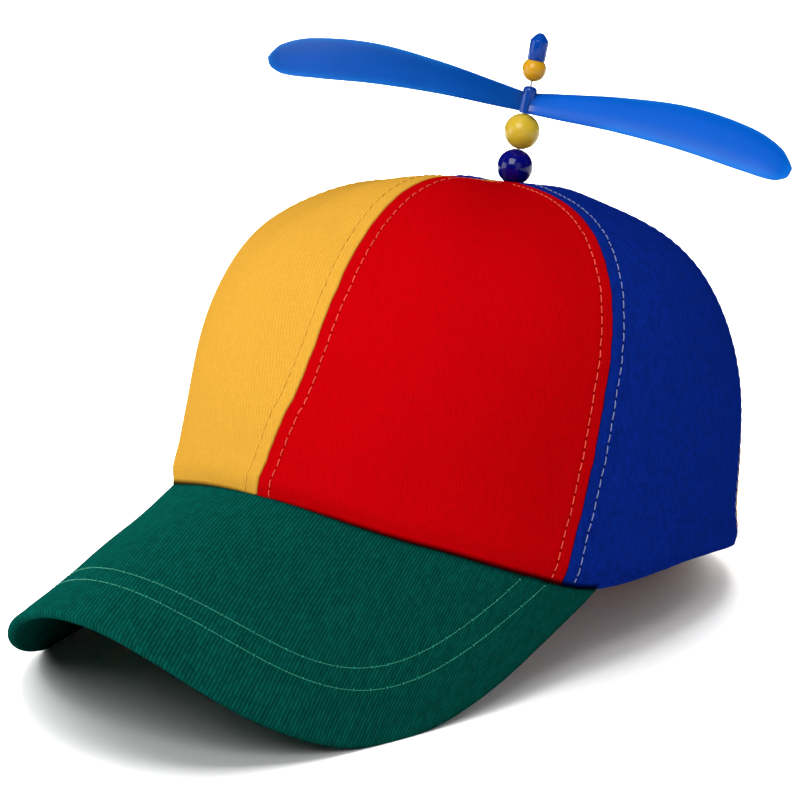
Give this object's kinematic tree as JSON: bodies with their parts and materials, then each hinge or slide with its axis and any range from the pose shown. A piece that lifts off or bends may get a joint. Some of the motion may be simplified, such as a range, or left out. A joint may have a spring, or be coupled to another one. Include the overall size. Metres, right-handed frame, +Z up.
{
  "type": "propeller cap",
  "caption": "Cloth cap with coloured crown panels, a curved visor, and a beaded pin on top carrying a blade propeller that spins freely.",
  "frame": {"origin": "on the table under the middle of the cap's box, with the cap resting on its visor corners and the back of its rim", "axes": "+Z up, -Y towards the visor, +X to the wearer's left"},
  "size_m": [0.17, 0.2626, 0.1764],
  "materials": {
    "red_twill": "red cotton twill, matt",
    "yellow_twill": "yellow cotton twill, matt",
    "blue_twill": "blue cotton twill, matt",
    "green_twill": "green cotton twill over a stiff visor, matt",
    "pin_steel": "bright wire",
    "navy_plastic": "glossy bead",
    "yellow_plastic": "glossy bead",
    "blue_plastic": "satin moulded plastic"
  },
  "bodies": {
    "cap": {"panel_front_left": "red_twill", "panel_side_left": "blue_twill", "panel_rear_left": "yellow_twill", "panel_rear_right": "red_twill", "panel_side_right": "blue_twill", "panel_front_right": "yellow_twill", "visor": "green_twill", "pin": "pin_steel", "base_bead": "navy_plastic", "spacer_bead": "yellow_plastic", "top_bead": "yellow_plastic", "tip_cap": "blue_plastic"},
    "propeller": {"propeller": "blue_plastic"}
  },
  "joints": [
    {"name": "propeller_spin", "type": "hinge", "parent": "cap", "child": "propeller", "pos_m": [0.00265, 0.07392, 0.15526], "axis": [0.0976, 0.2239, 0.9697], "continuous": true}
  ]
}
